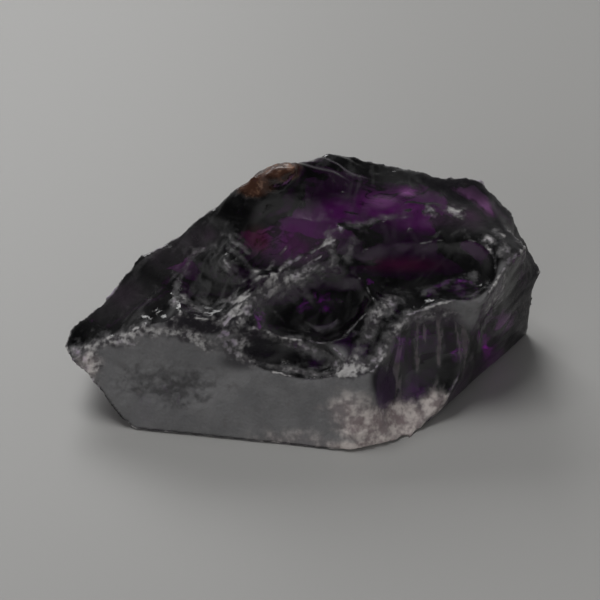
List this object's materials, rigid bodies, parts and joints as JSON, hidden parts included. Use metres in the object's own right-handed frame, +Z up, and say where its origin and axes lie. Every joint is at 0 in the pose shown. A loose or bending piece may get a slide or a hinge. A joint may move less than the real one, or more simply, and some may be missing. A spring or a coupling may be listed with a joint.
{
  "type": "rough amethyst",
  "caption": "Lump of clear dark violet quartz rough with shell-shaped fracture scars, sharp bruised ridges and a frosted flat face, lying on a flat base",
  "frame": {"origin": "middle of the lump's box, on the plane of the flat face that it lies on", "axes": "+X along the lump from its pointed end to its blunt end, +Y away from the flat frosted face, +Z up from the flat base"},
  "size_m": [0.05, 0.03, 0.022],
  "materials": {
    "amethyst": "glossy fracture faces with a frosted flat face and bruised ridges"
  },
  "bodies": {
    "root": {"amethyst": "amethyst"}
  },
  "joints": []
}
